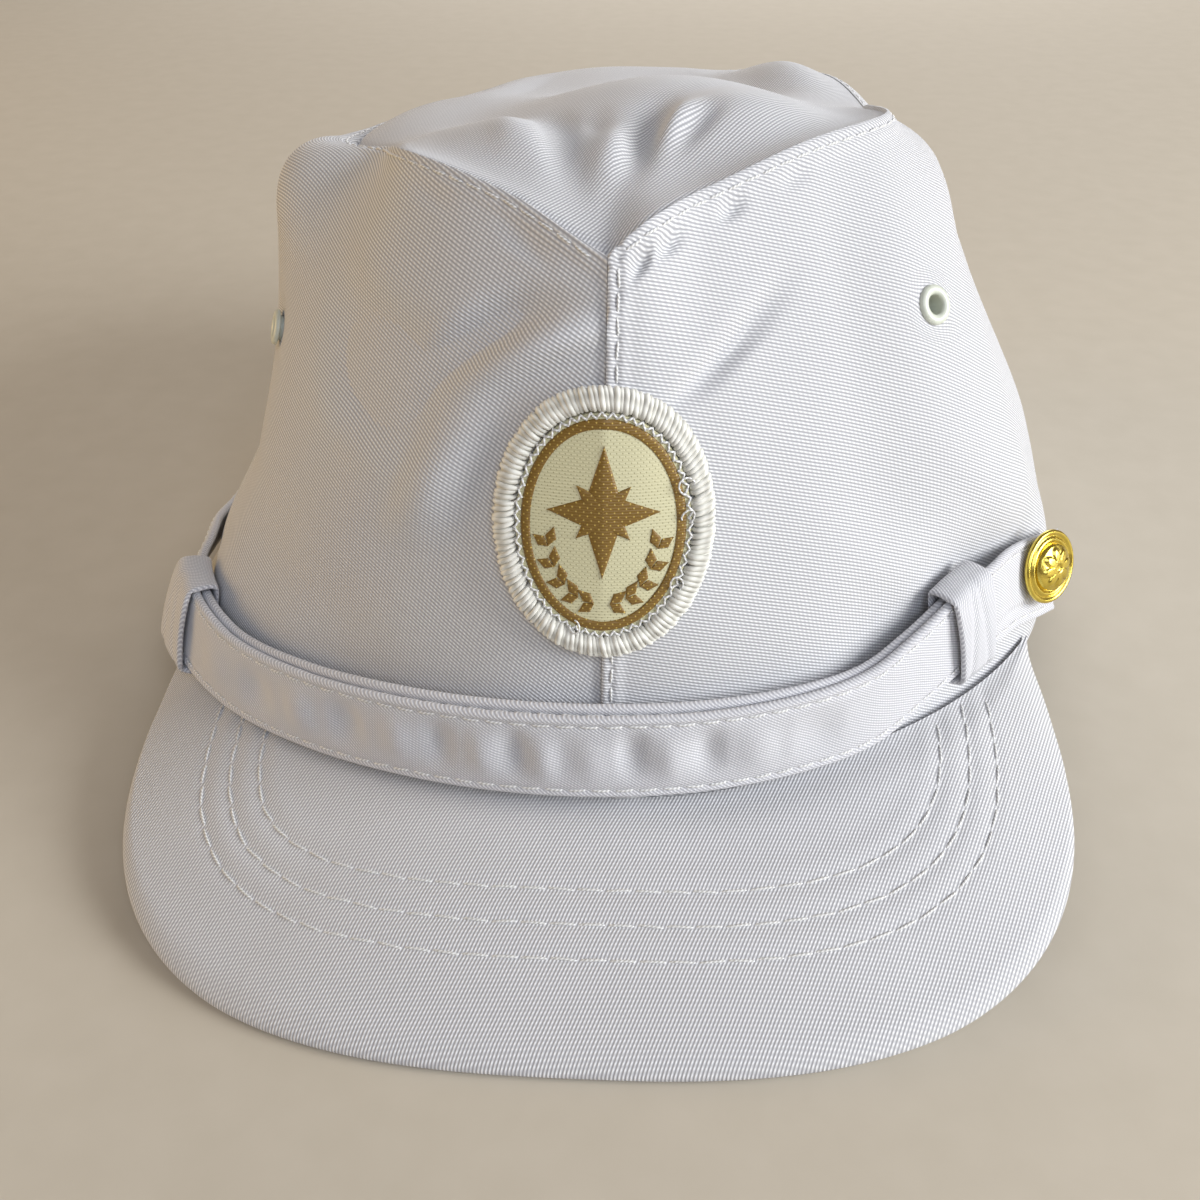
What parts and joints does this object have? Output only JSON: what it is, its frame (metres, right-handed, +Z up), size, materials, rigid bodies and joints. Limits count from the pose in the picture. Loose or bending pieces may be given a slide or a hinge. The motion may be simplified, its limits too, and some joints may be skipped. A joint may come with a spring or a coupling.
{
  "type": "peaked cap",
  "caption": "White cotton cap with a boat-shaped top, stitched peak, doubled chin strap with gilt buttons, air eyelets and an oval sewn patch on the front seam.",
  "frame": {"origin": "middle of the cap's footprint box on the table", "axes": "+Z up, the peak points to -Y, +X to the right of someone who faces the peak"},
  "size_m": [0.1808, 0.227, 0.1066],
  "materials": {
    "white_twill": "cotton twill, matt",
    "gilt_brass": "gilt, polished",
    "white_enamel": "white enamel, half gloss",
    "ivory_satin": "woven satin with gold thread",
    "white_thread": "dense border of thread"
  },
  "bodies": {
    "root": {"side_panel_right": "white_twill", "side_panel_left": "white_twill", "top_panel": "white_twill", "peak": "white_twill", "strap_outer": "white_twill", "strap_inner": "white_twill", "keeper_right": "white_twill", "keeper_left": "white_twill", "button_right": "gilt_brass", "button_left": "gilt_brass", "eyelet_right": "white_enamel", "eyelet_left": "white_enamel", "badge_patch": "ivory_satin", "badge_border": "white_thread"}
  },
  "joints": []
}
